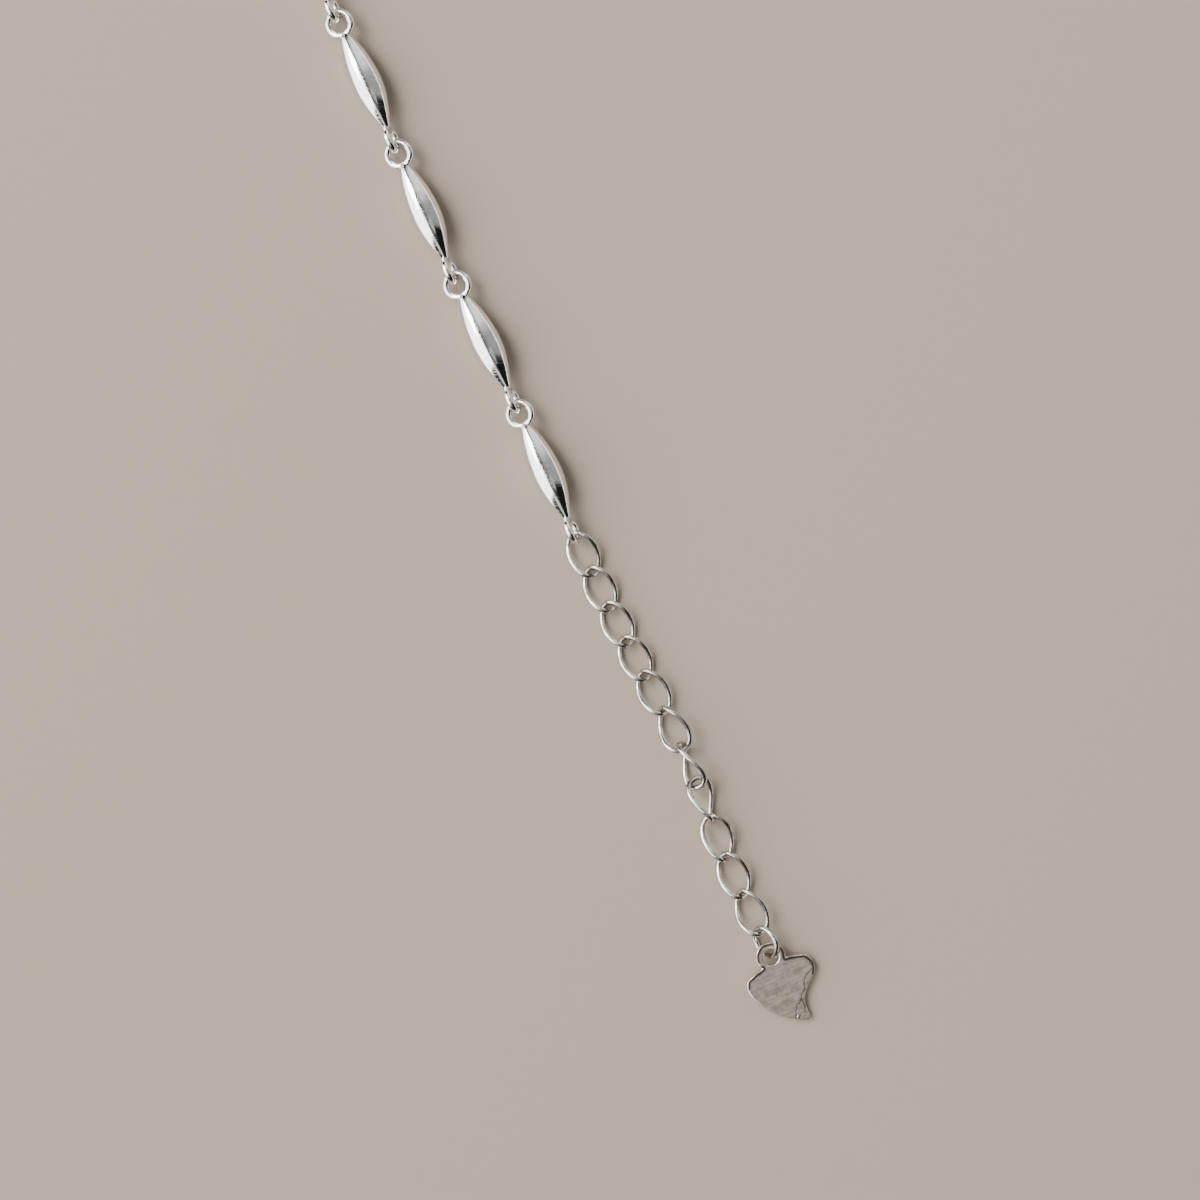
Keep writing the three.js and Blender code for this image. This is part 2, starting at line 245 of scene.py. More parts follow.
# %% Turn the spindle body
EYE_RADIUS = 1.2
EYE_WIRE = 0.68
EYE_SPAN = 12.74
BELLY_WIDTH = 3.2
BELLY_SHARE = 0.54
FINE_TIP_WIDTH = 0.3
BLUNT_TIP_WIDTH = 0.66
FINE_FULLNESS = 0.65
BLUNT_FULLNESS = 1.0
TIP_SETBACK = 0.05
COLLAR_WIDTH = 1.0
COLLAR_LENGTH = 0.34
BODY_SIDES = 64
BODY_STATIONS = 56

body_start = EYE_RADIUS - EYE_WIRE / 2 + TIP_SETBACK
body_end = EYE_SPAN - EYE_RADIUS
belly_at = body_start + (body_end - body_start) * BELLY_SHARE


def body_radius(place):
    if place < belly_at:
        tip, share, fullness = FINE_TIP_WIDTH, (place - body_start) / (belly_at - body_start), FINE_FULLNESS
    else:
        tip, share, fullness = BLUNT_TIP_WIDTH, (body_end - place) / (body_end - belly_at), BLUNT_FULLNESS
    return (tip + (BELLY_WIDTH - tip) * math.sin(share * math.pi / 2) ** fullness) / 2


def grow_body():
    stations = [
        body_start + (body_end - body_start) * (1 - math.cos(math.pi * step / BODY_STATIONS)) / 2
        for step in range(BODY_STATIONS + 1)
    ]
    bpy.ops.mesh.primitive_circle_add(
        vertices=BODY_SIDES, radius=body_radius(stations[0]), fill_type="NGON",
        rotation=(0, math.pi / 2, 0), location=(stations[0], 0, 0),
    )
    body = newest("spindle_body")
    bpy.ops.object.transform_apply()
    bpy.ops.object.mode_set(mode="EDIT")
    bpy.ops.mesh.select_all(action="SELECT")
    for last, place in zip(stations, stations[1:]):
        bpy.ops.mesh.extrude_region_move(TRANSFORM_OT_translate={"value": (place - last, 0, 0)})
        growth = body_radius(place) / body_radius(last)
        bpy.ops.transform.resize(value=(1, growth, growth), center_override=(place, 0, 0))
    bpy.ops.mesh.select_all(action="SELECT")
    bpy.ops.mesh.normals_make_consistent(inside=False)
    bpy.ops.object.mode_set(mode="OBJECT")
    return body


spindle_body = grow_body()
print("spindle body:", count_triangles(spindle_body), "triangles")

# %% [markdown]
# A bead of solder shows as a small collar where the blunt tip meets its eye. It is a short ring: a
# torus squeezed along the body.

# %% Add the collar at the blunt tip
bpy.ops.mesh.primitive_torus_add(
    major_radius=(COLLAR_WIDTH - COLLAR_LENGTH) / 2, minor_radius=COLLAR_LENGTH / 2,
    major_segments=48, minor_segments=16, rotation=(0, math.pi / 2, 0),
    location=(body_end - EYE_WIRE / 2 - COLLAR_LENGTH / 2, 0, 0),
)
collar = newest("spindle_collar")
bpy.ops.object.transform_apply()
print("collar:", count_triangles(collar), "triangles")

# %% [markdown]
# The eyes are rings of round wire. Each was bent round a rod, closed and soldered, so a fine seam
# still crosses the wire: beside the fine tip on the lying eye, where the photograph shows the wire's
# cut end, and at the outer end of the other. On the torus the seam is one loop of vertices drawn in
# a little. One eye lies flat and the other stands, which lets each spindle hang in the next.

# %% Bend the eyes
SEAM_DEPTH = 0.07
CUT_END = Vector((0.79, 0.62, 0))
EYE_STEPS = 72
WIRE_SIDES = 24


def draw_in_seam(ring, direction, radius, wire):
    spine = direction.normalized() * radius
    reach = math.pi * radius / EYE_STEPS
    for vertex in ring.data.vertices:
        offset = vertex.co - spine
        along = abs(offset.dot(direction.cross(Vector((0, 0, 1))).normalized()))
        if along < reach and offset.length < wire:
            vertex.co = spine + offset * (1 - 2 * SEAM_DEPTH / wire)


def bend_ring(name, radius, wire, seam_direction):
    bpy.ops.mesh.primitive_torus_add(
        major_radius=radius, minor_radius=wire / 2, major_segments=EYE_STEPS, minor_segments=WIRE_SIDES,
    )
    ring = newest(name)
    draw_in_seam(ring, seam_direction, radius, wire)
    return ring


near_eye = bend_ring("lying_eye", EYE_RADIUS, EYE_WIRE, CUT_END)
far_eye = bend_ring("standing_eye", EYE_RADIUS, EYE_WIRE, Vector((1, 0, 0)))
far_eye.data.transform(Matrix.Translation((EYE_SPAN, 0, 0)) @ Matrix.Rotation(math.pi / 2, 4, "X"))
print("eyes:", count_triangles(near_eye) + count_triangles(far_eye), "triangles")

# %% [markdown]
# Joined, the four parts are one link. Every spindle solid then gets its own copy. The solid before
# and after it in the chain says which of its ends is ahead.

# %% Lay the spindle links
spindle_pattern = join("spindle_pattern", collar, near_eye, far_eye, spindle_body)
bpy.ops.object.shade_smooth()
# The share of painted shade in the joints rises inside both eyes.
keep_places(spindle_pattern, lambda place: max(
    inside_bow(place.x, EYE_SPAN + EYE_RADIUS, EYE_WIRE), inside_bow(-place.x, EYE_RADIUS, EYE_WIRE)
))
FIRST_EYE_SHARE = (2 * EYE_RADIUS + EYE_WIRE) / (EYE_SPAN + 2 * EYE_RADIUS + EYE_WIRE)

for name in SPINDLES:
    next_name = CHAIN[CHAIN.index(name) + 1]
    lay(spindle_pattern, name, *lie_of(name, box_middle(next_name), FIRST_EYE_SHARE * 0.8))
print("laid", len(pieces), "spindle links of", count_triangles(spindle_pattern), "triangles")

# %% [markdown]
# ## The twisted links
# An extender link starts as a flat oval of wire, and is twisted about its own length so that a whole
# chain of them lies flat. The same order works here. A Bezier circle stretched into an oval and given
# a round bevel is the wire, and a Simple Deform modifier twists it. Longer handles than a true circle
# has make the oval fuller, as wire bent round a mandrel is.

# %% Bend and twist one link
LINK_LENGTH = 5.26
LINK_WIDTH = 3.36
LINK_WIRE = 0.54
LINK_TWIST = 46
FULLER_HANDLES = 1.15

link_reach = (LINK_LENGTH - LINK_WIRE) / 2
link_half_width = (LINK_WIDTH - LINK_WIRE) / 2


def bend_oval(name):
    bpy.ops.curve.primitive_bezier_circle_add(radius=1)
    oval = newest(name)
    for point in oval.data.splines[0].bezier_points:
        point.handle_left_type = "FREE"
        point.handle_right_type = "FREE"
        for side in ("handle_left", "handle_right"):
            handle = point.co + (getattr(point, side) - point.co) * FULLER_HANDLES
            setattr(point, side, handle)
    oval.scale = (link_reach, link_half_width, 1)
    bpy.ops.object.transform_apply()
    for point in oval.data.splines[0].bezier_points:
        point.radius = 1
    oval.data.dimensions = "3D"
    oval.data.resolution_u = 24
    oval.data.bevel_depth = LINK_WIRE / 2
    oval.data.bevel_resolution = 6
    bpy.ops.object.convert(target="MESH")
    return newest(name)


link_pattern = bend_oval("link_pattern")
apply_modifier(
    link_pattern, "SIMPLE_DEFORM", deform_method="TWIST", deform_axis="X",
    angle=math.radians(-2 * LINK_TWIST * LINK_LENGTH / (2 * link_reach)),
)
bpy.ops.object.shade_smooth()
print("link:", count_triangles(link_pattern), "triangles, size", [round(side, 2) for side in link_pattern.dimensions])

# %% [markdown]
# A link hangs on the next one inside its two bows, one at each end. All the links are copies of this
# one, each laid where its solid lies.

# %% Lay the twisted links
# The share of painted shade in the joints rises inside both bows.
keep_places(link_pattern, lambda place: inside_bow(abs(place.x), link_reach, LINK_WIRE))
for name in LINKS:
    next_name = CHAIN[CHAIN.index(name) + 1]
    lay(link_pattern, name, *lie_of(name, box_middle(next_name)))
print("laid", len(LINKS), "twisted links")

# %% [markdown]
# ## The jump ring
# The tag hangs on a plain round ring of the same wire, closed with a visible seam. A round ring has
# no long axis of its own, so the direction to the tag stands in for it.

# %% Lay the jump ring
JUMP_RING_WIDTH = 3.64

ring_pattern = bend_ring("ring_pattern", (JUMP_RING_WIDTH - LINK_WIRE) / 2, LINK_WIRE, Vector((0.5, -1, 0)))
bpy.ops.object.shade_smooth()
keep_places(ring_pattern, lambda place: inside_bow(abs(place.x), (JUMP_RING_WIDTH - LINK_WIRE) / 2, LINK_WIRE))
ring_middle, ring_turn = lie_of("jump_ring", box_middle("heart_tag"))
ring_up = ring_turn.col[2]
ring_turn = turn_from_axes(box_middle("heart_tag") - ring_middle, ring_up)
lay(ring_pattern, "jump_ring", ring_middle, ring_turn)
print("jump ring:", count_triangles(ring_pattern), "triangles")

# %% [markdown]
# ## The heart tag
# The tag was stamped from sheet, so it is an outline with a thickness and softened edges. It is drawn
# as a closed Bezier curve with its eye round the origin. Each corner of the table is a point of the
# outline with the handle before it and the handle after it, as shares of the tag's width and height.

# %% Draw the tag's outline
TAG_WIDTH = 6.9
TAG_HEIGHT = 6.6
TAG_THICKNESS = 0.6
TAG_EDGE = 0.15
TAG_EYE_RADIUS = 1.5
TAG_HOLE_RADIUS = 0.8
LEFT_NOTCH = math.radians(234)
CIRCLE_HANDLE = 4 / 3

TAG_LOBES = [
    {"point": (-0.348, -0.424), "before": (-0.348, -0.333), "after": (-0.348, -0.682)},
    {"point": (0.5, -0.962), "before": (0.087, -0.947), "after": (0.577, -0.962)},
    {"point": (0.584, -0.876), "before": (0.605, -0.933), "after": (0.551, -0.803)},
    {"point": (0.507, -0.636), "before": (0.507, -0.72), "after": (0.507, -0.462)},
    {"point": (0.652, -0.174), "before": (0.652, -0.303), "after": (0.652, -0.083)},
    {"point": (0.471, 0.039), "before": (0.565, 0.039), "after": (0.391, 0.039)},
]


def on_tag(share):
    return Vector((share[0] * TAG_WIDTH, share[1] * TAG_HEIGHT, 0))


def on_eye(angle):
    return Vector((math.cos(angle), math.sin(angle), 0)) * TAG_EYE_RADIUS


def eye_handle(angle, swing):
    tangent = Vector((-math.sin(angle), math.cos(angle), 0))
    return on_eye(angle) + tangent * TAG_EYE_RADIUS * CIRCLE_HANDLE * math.tan(swing / 4)


print("the tag's tail is at", [round(side, 2) for side in on_tag(TAG_LOBES[1]["point"])])

# %% [markdown]
# The eye is an arc from the right lobe round to the notch on the left. Two Bezier segments follow it
# closely. The hole is a second, smaller circle in the same curve, and Blender leaves it open when it
# fills the outline. Extrude gives the thickness, and a small bevel the softened edges.

# %% Make the plate
def outline_points():
    swing = LEFT_NOTCH / 2
    arc = [(angle, eye_handle(angle, -swing), eye_handle(angle, swing)) for angle in (0, swing, 2 * swing)]
    rows = [(on_eye(angle), before, after) for angle, before, after in arc]
    rows[0] = (rows[0][0], on_tag((0.304, 0.015)), rows[0][2])
    rows[2] = (rows[2][0], rows[2][1], on_tag((-0.243, -0.271)))
    rows += [tuple(on_tag(row[part]) for part in ("point", "before", "after")) for row in TAG_LOBES]
    return rows


def draw_plate(name, rows, thickness, edge):
    bpy.ops.curve.primitive_bezier_circle_add(radius=TAG_HOLE_RADIUS)
    plate = newest(name)
    plate.data.splines.new("BEZIER")
    outline = plate.data.splines[1]
    outline.use_cyclic_u = True
    outline.bezier_points.add(len(rows) - 1)
    for point, (place, before, after) in zip(outline.bezier_points, rows):
        point.handle_left_type = "FREE"
        point.handle_right_type = "FREE"
        point.co = place
        point.handle_left = before
        point.handle_right = after
    plate.data.dimensions = "2D"
    plate.data.fill_mode = "BOTH"
    plate.data.resolution_u = 20
    plate.data.extrude = thickness / 2 - edge
    plate.data.bevel_depth = edge
    plate.data.bevel_resolution = 4
    plate.data.offset = -edge
    bpy.ops.object.convert(target="MESH")
    bpy.ops.object.mode_set(mode="EDIT")
    bpy.ops.mesh.select_all(action="SELECT")
    bpy.ops.mesh.remove_doubles(threshold=0.0005)
    bpy.ops.mesh.normals_make_consistent(inside=False)
    bpy.ops.object.mode_set(mode="OBJECT")
    return newest(name)


tag_pattern = draw_plate("tag_pattern", outline_points(), TAG_THICKNESS, TAG_EDGE)
print("plate:", count_triangles(tag_pattern), "triangles, size", [round(side, 2) for side in tag_pattern.dimensions])

# %% [markdown]
# The stamp left two nicks in the lower edge. Each is cut with a thin block. The plate is then remeshed
# into even small faces, because a mark pressed into a face needs points to move.

# %% Nick and refine the plate
TAG_FACE = 0.05
NICKS = [(2.67, -5.98), (2.98, -6.12)]
NICK_SIZE = (0.11, 0.42, 2)

for x, y in NICKS:
    bpy.ops.mesh.primitive_cube_add(size=1, location=(x, y, 0), scale=NICK_SIZE, rotation=(0, 0, math.radians(8)))
    block = newest("nick_block")
    bpy.ops.object.transform_apply()
    apply_modifier(tag_pattern, "BOOLEAN", operation="DIFFERENCE", object=block, solver="EXACT")
    bpy.data.objects.remove(block)
apply_modifier(tag_pattern, "REMESH", mode="VOXEL", voxel_size=TAG_FACE)
apply_modifier(tag_pattern, "SMOOTH", factor=0.5, iterations=2)
print("refined tag:", count_triangles(tag_pattern), "triangles")

# %% [markdown]
# A rough crease runs down beside the right edge and forks to the nicks. It is pressed into the upper
# face along two drawn lines, whose course a little noise makes ragged, and the two nicks are counted in.
# Each point also keeps how deep it lies in the crease, so that the finish can paint shade into it there.

# %% Press the crease into the face
CREASES = [
    [(4.14, -1.24), (3.57, -1.84), (3.37, -2.44), (3.45, -3.2), (3.15, -4.1), (2.75, -4.85), (2.65, -6.0)],
    [(3.15, -4.1), (3.37, -4.75), (3.57, -5.6)],
    *([(x, y + NICK_SIZE[1] / 2), (x, y - NICK_SIZE[1] / 2)] for x, y in NICKS),
]
CREASE_WIDTH = 0.055
CREASE_DEPTH = 0.014
CREASE_WANDER = 0.18


def distance_to_line(points, line):
    nearest = np.full(len(points), np.inf)
    for start, end in zip(line, line[1:]):
        start, run = np.array(start), np.array(end) - np.array(start)
        share = np.clip((points - start) @ run / (run @ run), 0, 1)
        nearest = np.minimum(nearest, np.linalg.norm(points - start - share[:, None] * run, axis=1))
    return nearest


def press_creases(plate):
    vertices = plate.data.vertices
    wander = [noise_vector(vertex.co * 2.5) * CREASE_WANDER for vertex in vertices]
    points = np.array([(vertex.co + away).to_2d() for vertex, away in zip(vertices, wander)])
    nearest = np.min([distance_to_line(points, line) for line in CREASES], axis=0)
    depths = np.exp(-((nearest / CREASE_WIDTH) ** 2))
    for vertex, depth in zip(vertices, depths):
        if vertex.co.z > 0:
            vertex.co.z -= CREASE_DEPTH * depth
    # This depth share also sets the painted shade in the crease and the nicks.
    crease = plate.data.attributes.new("crease", "FLOAT", "POINT")
    crease.data.foreach_set("value", depths)
    return depths


crease_depths = press_creases(tag_pattern)
print("points in the crease:", int((crease_depths > 0.5).sum()))

# %% [markdown]
# Handling has polished the rim, which is where the surface turns away from the face. A band of painted
# shade lies just inside the upper edges only: round the eye and along the tops of both lobes. The rim is
# told by the plate's own normals. The band follows the drawn outline, so it is measured from it. The
# outline runs anticlockwise, which makes its upper edges the stretches that run to the left. Again noise
# makes the band uneven.

# %% Mark the rim and the band of painted shade
RIM_SLOPE = (0.6, 0.9)
BAND_START = (0.05, 0.11)
BAND_END = (0.26, 0.46)
BAND_WANDER = 0.12
UPPER_EDGE = 0.2
LOWEST_SHADED_EDGE = -3.0


def step_between(value, low, high):
    return np.clip((value - low) / (high - low), 0, 1)


def keep_shares(plate, name, shares):
    plate.data.attributes.new(name, "FLOAT", "POINT").data.foreach_set("value", shares)


def mark_upper_edge_shade(plate, rows):
    upper_edges = []
    for (place, _, after), (next_place, before, _) in zip(rows, rows[1:] + rows[:1]):
        stretch = [point.to_2d() for point in interpolate_bezier(place, after, before, next_place, 16)]
        for start, end in zip(stretch, stretch[1:]):
            if start.y > LOWEST_SHADED_EDGE and (end - start).x < UPPER_EDGE * (end - start).length:
                upper_edges.append([start, end])
    places = [vertex.co + noise_vector(vertex.co * 1.6) * BAND_WANDER for vertex in plate.data.vertices]
    points = np.array([place.to_2d() for place in places])
    nearest = np.min([distance_to_line(points, edge) for edge in upper_edges], axis=0)
    # The band's share is painted shade on the upper edges of the tag.
    keep_shares(plate, "upper_edge_shade", step_between(nearest, *BAND_START) * (1 - step_between(nearest, *BAND_END)))
    levels = np.array([abs(vertex.normal.z) for vertex in plate.data.vertices])
    keep_shares(plate, "rim", 1 - step_between(levels, *RIM_SLOPE))
    return len(upper_edges)


print("upper edges of the tag:", mark_upper_edge_shade(tag_pattern, outline_points()), "short stretches")

# %% [markdown]
# The tag's own axes are those of its drawing, so it needs no turn in plan. It is only tipped from the
# level to the tilt of the solid's face.

# %% Lay the tag
select_only(tag_pattern)
bpy.ops.object.shade_smooth()
keep_places(tag_pattern, lambda place: 0)
tag_middle, tag_turn = lie_of("heart_tag", box_middle("heart_tag"))
tag_turn = Vector((0, 0, 1)).rotation_difference(tag_turn.col[2]).to_matrix()
tag_middle = middle_of(nodes["heart_tag"].data, tag_turn.col[0])
lay(tag_pattern, "heart_tag", tag_middle, tag_turn)
print("the tag faces", [round(side, 3) for side in tag_turn.col[2]])

# %% [markdown]
# ## The clasp
# The clasp lies outside the picture. It is one plain closed piece: an egg-shaped hook cut from thick
# sheet, with an eye of wire for the first spindle. Its outline is two arcs joined by straight sides,
# which a Bezier curve could draw too. Here two discs are hulled instead: a mesh disc at each end, and
# the convex hull operator stretches one skin round both.

# %% Make the clasp
CLASP_LENGTH = 9.6
CLASP_WIDTH = 6.2
CLASP_NECK_WIDTH = 2.6
CLASP_NECK_LENGTH = 2.6
CLASP_WALL = 1.3
CLASP_THICKNESS = 1.8
CLASP_EDGE = 0.35

hook_x = CLASP_WIDTH / 2 - CLASP_LENGTH - EYE_RADIUS
neck_x = -EYE_RADIUS - CLASP_NECK_WIDTH / 2
hole_small_radius = CLASP_NECK_WIDTH / 4
hole_small_x = -EYE_RADIUS - CLASP_NECK_LENGTH - hole_small_radius


def egg(name, big_x, big_radius, small_x, small_radius, depth):
    discs = []
    for x, radius in ((big_x, big_radius), (small_x, small_radius)):
        bpy.ops.mesh.primitive_cylinder_add(vertices=96, radius=radius, depth=depth, location=(x, 0, 0))
        discs.append(newest(f"{name}_disc"))
        bpy.ops.object.transform_apply()
    whole = join(name, *discs)
    bpy.ops.object.mode_set(mode="EDIT")
    bpy.ops.mesh.select_all(action="SELECT")
    bpy.ops.mesh.convex_hull()
    bpy.ops.mesh.dissolve_limited(angle_limit=math.radians(0.5))
    bpy.ops.object.mode_set(mode="OBJECT")
    return whole


clasp_hook = egg("clasp_hook", hook_x, CLASP_WIDTH / 2, neck_x, CLASP_NECK_WIDTH / 2, CLASP_THICKNESS)
clasp_hole = egg(
    "clasp_hole", hook_x, CLASP_WIDTH / 2 - CLASP_WALL, hole_small_x, hole_small_radius, CLASP_THICKNESS * 2
)
apply_modifier(clasp_hook, "BOOLEAN", operation="DIFFERENCE", object=clasp_hole, solver="EXACT")
bpy.data.objects.remove(clasp_hole)
apply_modifier(clasp_hook, "BEVEL", width=CLASP_EDGE, segments=5, limit_method="ANGLE", angle_limit=math.radians(60))
print("clasp hook:", count_triangles(clasp_hook), "triangles")

# %% [markdown]
# The eye of the clasp stands, because the first eye of the first spindle lies flat in it. Eye and hook
# are one soldered piece, so they are joined before the clasp is laid.

# %% Lay the clasp
clasp_eye = bend_ring("clasp_eye", EYE_RADIUS, EYE_WIRE, Vector((1, 0, 0)))
clasp_eye.data.transform(Matrix.Rotation(math.pi / 2, 4, "X"))
clasp_pattern = join("clasp_pattern", clasp_eye, clasp_hook)
bpy.ops.object.shade_smooth_by_angle(angle=math.radians(50))
keep_places(clasp_pattern, lambda place: 0)
lay(clasp_pattern, "clasp", *lie_of("clasp", box_middle(SPINDLES[0])))
print("clasp:", count_triangles(clasp_pattern), "triangles")

# %% [markdown]
# The patterns lie at the origin and were only there to be copied. They go, so that each solid of the
# model has exactly one finished piece.

# %% Put the patterns away
for pattern in (spindle_pattern, link_pattern, ring_pattern, tag_pattern, clasp_pattern):
    bpy.data.objects.remove(pattern)
print("pieces laid:", len(pieces))

# %% [markdown]
# ## Silver
# Polished silver is a mirror, so nearly all that is seen in it is the studio. What makes it a real
# surface is small: polishing leaves it very slightly wavy, turning and drawing leave a fine grain along
# the piece, wear leaves hair-fine scratches and tiny pits, and tarnish dulls it in patches. One node
# group makes all four, and each finish takes it with its own values.

# %% Build the wear group
def new_group(name, inputs, outputs):
    group = bpy.data.node_groups.new(name, "ShaderNodeTree")
    for label, kind, value in inputs:
        socket = group.interface.new_socket(label, in_out="INPUT", socket_type=kind)
        socket.default_value = value
    for label, kind in outputs:
        group.interface.new_socket(label, in_out="OUTPUT", socket_type=kind)
    return group


def add_node(tree, kind, **settings):
    node = tree.nodes.new(kind)
    for setting, value in settings.items():
        setattr(node, setting, value)
    return node


def noise(tree, vector, scale, detail=3.0, roughness=0.55):
    node = add_node(tree, "ShaderNodeTexNoise")
    node.inputs["Detail"].default_value = detail
    node.inputs["Roughness"].default_value = roughness
    tree.links.new(vector, node.inputs["Vector"])
    if isinstance(scale, (int, float)):
        node.inputs["Scale"].default_value = scale
    else:
        tree.links.new(scale, node.inputs["Scale"])
    return node.outputs["Fac"]


def between(tree, value, low, high, to_low=0.0, to_high=1.0):
    node = add_node(tree, "ShaderNodeMapRange", interpolation_type="SMOOTHSTEP")
    tree.links.new(value, node.inputs["Value"])
    for socket, number in zip(node.inputs[1:5], (low, high, to_low, to_high)):
        socket.default_value = number
    return node.outputs["Result"]


def maths(tree, operation, first, second):
    node = add_node(tree, "ShaderNodeMath", operation=operation)
    for socket, value in zip(node.inputs, (first, second)):
        if isinstance(value, (int, float)):
            socket.default_value = value
        else:
            tree.links.new(value, socket)
    return node.outputs["Value"]


wear = new_group(
    "silver wear",
    [
        ("Place", "NodeSocketVector", (0, 0, 0)),
        ("Own place", "NodeSocketVector", (0, 0, 0)),
        ("Wave size", "NodeSocketFloat", 600.0),
        ("Stain size", "NodeSocketFloat", 900.0),
    ],
    [(label, "NodeSocketFloat") for label in ("Waves", "Grain", "Scratches", "Stains")],
)


def build_wear(tree):
    given = add_node(tree, "NodeGroupInput")
    made = add_node(tree, "NodeGroupOutput")
    place = given.outputs["Place"]
    tree.links.new(noise(tree, place, given.outputs["Wave size"], detail=1.0), made.inputs["Waves"])
    grain = add_node(tree, "ShaderNodeMapping")
    grain.inputs["Scale"].default_value = (220, 4200, 4200)
    tree.links.new(given.outputs["Own place"], grain.inputs["Vector"])
    tree.links.new(noise(tree, grain.outputs["Vector"], 1.0, detail=4.0), made.inputs["Grain"])
    lines = between(tree, noise(tree, place, 9000, detail=1.0), 0.66, 0.74)
    for turn in (0.35, 1.3, 2.2):
        mapping = add_node(tree, "ShaderNodeMapping")
        mapping.inputs["Rotation"].default_value = (0.2, 0.3, turn)
        mapping.inputs["Scale"].default_value = (400, 16000, 400)
        tree.links.new(place, mapping.inputs["Vector"])
        line = between(tree, noise(tree, mapping.outputs["Vector"], 1.0, detail=2.0), 0.62, 0.72)
        lines = maths(tree, "MAXIMUM", lines, line)
    tree.links.new(lines, made.inputs["Scratches"])
    coarse = noise(tree, place, given.outputs["Stain size"], detail=6.0, roughness=0.65)
    tree.links.new(between(tree, coarse, 0.42, 0.64), made.inputs["Stains"])


build_wear(wear)
print("wear group nodes:", len(wear.nodes))

# %% [markdown]
# A finish is a Principled BSDF with Metallic at one. The waves, grain and scratches go to its bump. The
# stains mix its colour towards a dull tone and raise its roughness, and painted shade, with some tarnish,
# darkens the colour inside the joints. Body, wire and tag differ: the spindles are a clean mirror, the drawn
# wire is greyer and its grain coarser, and the tag is satin.

# %% Make a finish
def blend(tree, kind, amount, first, second):
    mix = add_node(tree, "ShaderNodeMix", data_type=kind)
    tree.links.new(amount, mix.inputs["Factor"])
    for socket, value in ((mix.inputs["A"], first), (mix.inputs["B"], second)):
        if isinstance(value, bpy.types.NodeSocket):
            tree.links.new(value, socket)
        else:
            socket.default_value = value
    return mix.outputs["Result"]


def silver_finish(name, bright, dull, joint_shade_tone, gloss, haze, wave, grain, scratch, wave_size, stain_size, stain_share):
    material = bpy.data.materials.new(name)
    material.use_nodes = True
    tree = material.node_tree
    surface = tree.nodes["Principled BSDF"]
    surface.inputs["Metallic"].default_value = 1.0
    worn = add_node(tree, "ShaderNodeGroup", node_tree=wear)
    worn.inputs["Wave size"].default_value = wave_size
    worn.inputs["Stain size"].default_value = stain_size
    tree.links.new(add_node(tree, "ShaderNodeTexCoord").outputs["Object"], worn.inputs["Place"])
    own_place = add_node(tree, "ShaderNodeAttribute", attribute_name="own place")
    tree.links.new(own_place.outputs["Vector"], worn.inputs["Own place"])
    joint_shade = add_node(tree, "ShaderNodeAttribute", attribute_name="joint_shade").outputs["Fac"]
    stains = maths(tree, "MULTIPLY", worn.outputs["Stains"], stain_share)
    # Painted shade inside the joints, patchy with the stains, darkens the colour towards the shade tone.
    patchy_joint_shade = maths(tree, "MULTIPLY", joint_shade, between(tree, worn.outputs["Stains"], 0.0, 1.0, 0.6, 1.0))
    colour = blend(tree, "RGBA", stains, (*bright, 1), (*dull, 1))
    tree.links.new(blend(tree, "RGBA", patchy_joint_shade, colour, (*joint_shade_tone, 1)), surface.inputs["Base Color"])
    tree.links.new(between(tree, stains, 0.0, 1.0, gloss, haze), surface.inputs["Roughness"])
    normal = None
    for label, depth in (("Waves", wave), ("Grain", grain), ("Scratches", scratch)):
        bump = add_node(tree, "ShaderNodeBump", invert=label == "Scratches")
        bump.inputs["Distance"].default_value = depth * MM
        tree.links.new(worn.outputs[label], bump.inputs["Height"])
        if normal:
            tree.links.new(normal, bump.inputs["Normal"])
        normal = bump.outputs["Normal"]
    tree.links.new(normal, surface.inputs["Normal"])
    return material


polished = silver_finish(
    "polished silver", bright=(0.95, 0.945, 0.93), dull=(0.62, 0.58, 0.54), joint_shade_tone=(0.3, 0.27, 0.24),
    gloss=0.05, haze=0.2, wave=0.02, grain=0.006, scratch=0.002, wave_size=420, stain_size=1500,
    stain_share=0.3,
)
drawn = silver_finish(
    "drawn silver wire", bright=(0.7, 0.67, 0.63), dull=(0.32, 0.28, 0.24), joint_shade_tone=(0.13, 0.11, 0.09),
    gloss=0.08, haze=0.24, wave=0.02, grain=0.012, scratch=0.003, wave_size=700, stain_size=1500,
    stain_share=0.7,
)
satin = silver_finish(
    "satin silver", bright=(1.0, 0.86, 0.74), dull=(0.38, 0.3, 0.24), joint_shade_tone=(0.3, 0.26, 0.22),
    gloss=0.34, haze=0.44, wave=0.004, grain=0.002, scratch=0.0025, wave_size=900, stain_size=1000,
    stain_share=0.6,
)
print("finishes:", polished.name, "and", drawn.name, "and", satin.name)

# %% [markdown]
# The tag's sheet was brushed before the tag was stamped out of it, so faint dark streaks a few
# millimetres long lie aslant across its face. They are a noise on the tag's own place, stretched to the
# streaks' length and width and turned, and it mixes in a duller tone.

# %% Brush the satin across
BRUSH_STREAK = (2.6, 0.3, 2.6)
BRUSH_TURN = math.radians(22)


